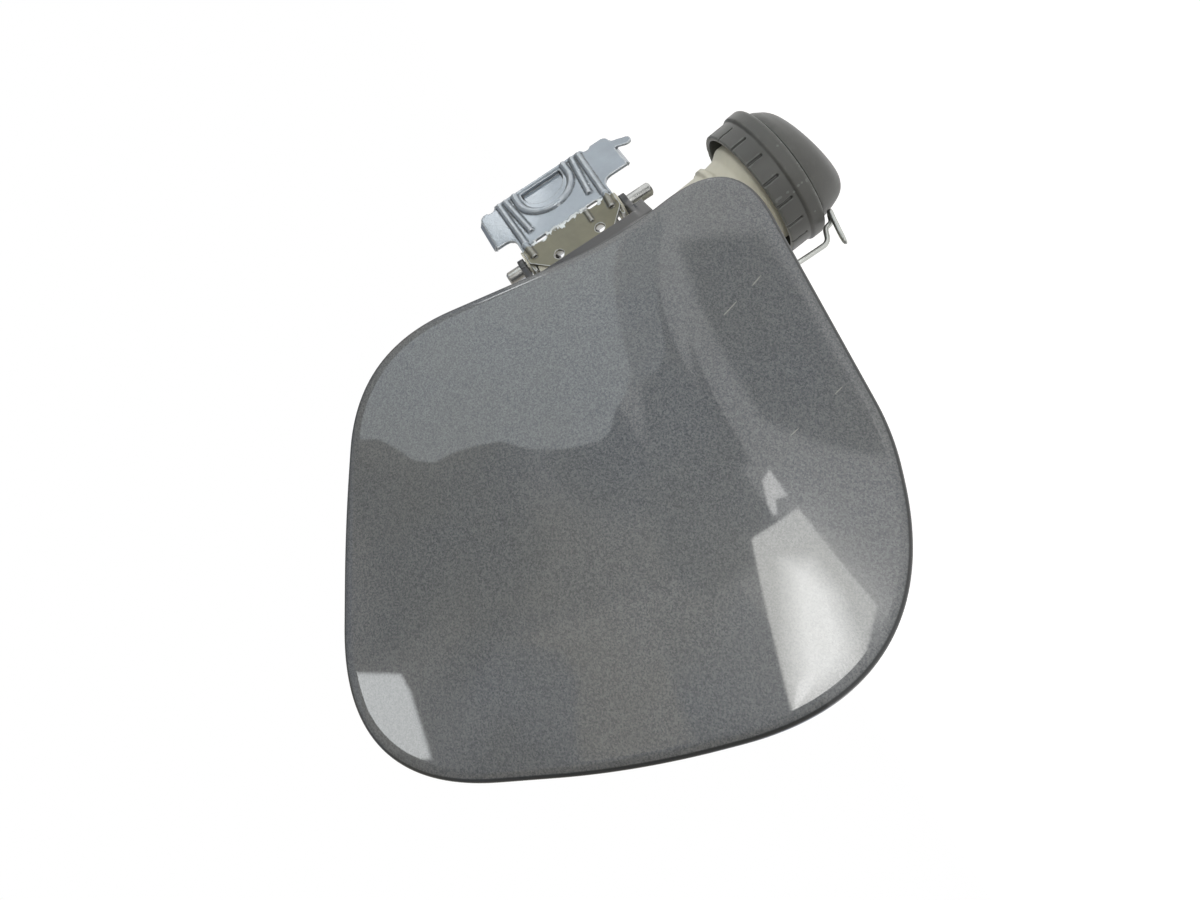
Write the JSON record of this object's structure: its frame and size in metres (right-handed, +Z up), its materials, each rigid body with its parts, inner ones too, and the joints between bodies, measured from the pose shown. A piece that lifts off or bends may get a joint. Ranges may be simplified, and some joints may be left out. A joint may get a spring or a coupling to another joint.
{
  "type": "car fuel door with parked filler cap",
  "caption": "Domed steel fuel flap on a pressed hinge bracket, with the filler cap parked on a nylon holder behind it and kept by a spring wire.",
  "frame": {"origin": "midway between the bracket's two mounting holes, on its front face", "axes": "+Z up along the hinge pin, -Y out of the car towards the painted face, +X from the flap to the hinge bracket"},
  "size_m": [0.2377, 0.0835, 0.255],
  "materials": {
    "bracket_paint": "thin factory paint with dry overspray",
    "nylon": "natural nylon",
    "spring_steel": "oiled spring steel",
    "pin_steel": "ground steel",
    "leaf_black": "black dip paint",
    "flap_paint": "dark grey metallic paint under clear coat",
    "inner_paint": "satin grey primer and paint",
    "plated_steel": "zinc plated",
    "plated_wire": "zinc plated wire",
    "rubber_black": "soft rubber",
    "cap_black": "fine grained satin plastic",
    "core_black": "moulded plastic",
    "ratchet_nylon": "natural acetal",
    "valve_brass": "pressed brass"
  },
  "bodies": {
    "bracket": {"hinge_bracket": "bracket_paint", "hinge_bushes": "nylon", "hinge_block": "nylon", "hinge_spring": "spring_steel"},
    "flap": {"flap_skin": "flap_paint", "inner_panel": "inner_paint", "hinge_leaf": "leaf_black", "hinge_pin": "pin_steel", "striker_loop": "plated_steel", "bump_stops": "rubber_black", "cap_holder": "nylon", "holder_rivets": "plated_steel", "catch_post": "plated_steel"},
    "catch": {"catch_wire": "plated_wire"},
    "cap": {"cap_skirt": "cap_black", "cap_grip": "cap_black", "cap_core": "core_black", "cap_seal": "rubber_black", "ratchet_ring": "ratchet_nylon", "valve_guide": "nylon", "valve_spring": "spring_steel"},
    "valve": {"valve_plate": "valve_brass"}
  },
  "joints": [
    {"name": "flap_hinge", "type": "hinge", "parent": "bracket", "child": "flap", "pos_m": [0.0075, 0.0075, 0], "axis": [0, 0, 1], "range_deg": [0, 90]},
    {"name": "catch_turn", "type": "hinge", "parent": "flap", "child": "catch", "pos_m": [-0.0567, -0.01, -0.0405], "axis": [0, 1, 0], "range_deg": [0, 10], "stiffness_Nm_per_rad": 0.5, "springref_deg": -8.59},
    {"name": "cap_turn", "type": "hinge", "parent": "flap", "child": "cap", "pos_m": [-0.0137, 0.02, -0.0696], "axis": [0.0783, -0.061, -0.9951], "range_deg": [0, 90]},
    {"name": "valve_slide", "type": "slide", "parent": "cap", "child": "valve", "axis": [0.0783, -0.061, -0.9951], "range_m": [0, 0.001], "stiffness_N_per_m": 300, "springref_m": -0.003, "deforming": ["valve_spring"]}
  ]
}
